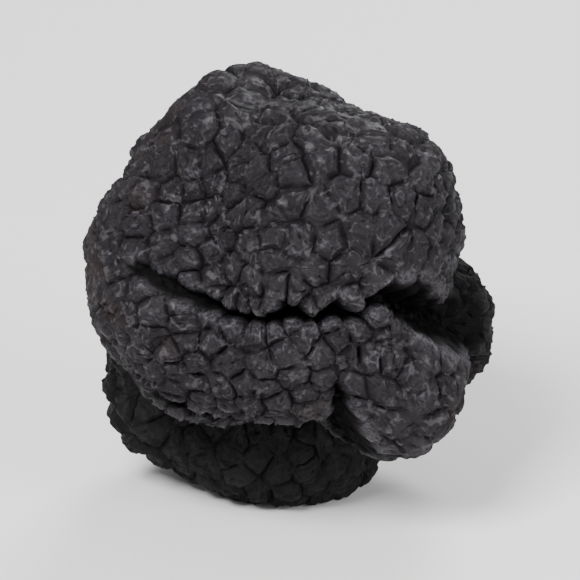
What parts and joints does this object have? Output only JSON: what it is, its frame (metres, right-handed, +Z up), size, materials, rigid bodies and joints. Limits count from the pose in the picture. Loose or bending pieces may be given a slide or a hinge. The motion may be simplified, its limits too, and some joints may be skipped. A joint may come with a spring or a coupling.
{
  "type": "black truffle",
  "caption": "Whole lobed black truffle with a rind of blunt many-sided warts, a wandering furrow across its front and a small flat resting spot.",
  "frame": {"origin": "on the resting surface, under the middle of the truffle's box", "axes": "+Z up and away from the resting spot, +X to the right seen from the front, -Y to the front, which the long furrow crosses"},
  "size_m": [0.028, 0.025, 0.03],
  "materials": {
    "truffle_rind": "moist, near-black warty rind with paler wart ridges and dark seams"
  },
  "bodies": {
    "root": {"truffle": "truffle_rind"}
  },
  "joints": []
}
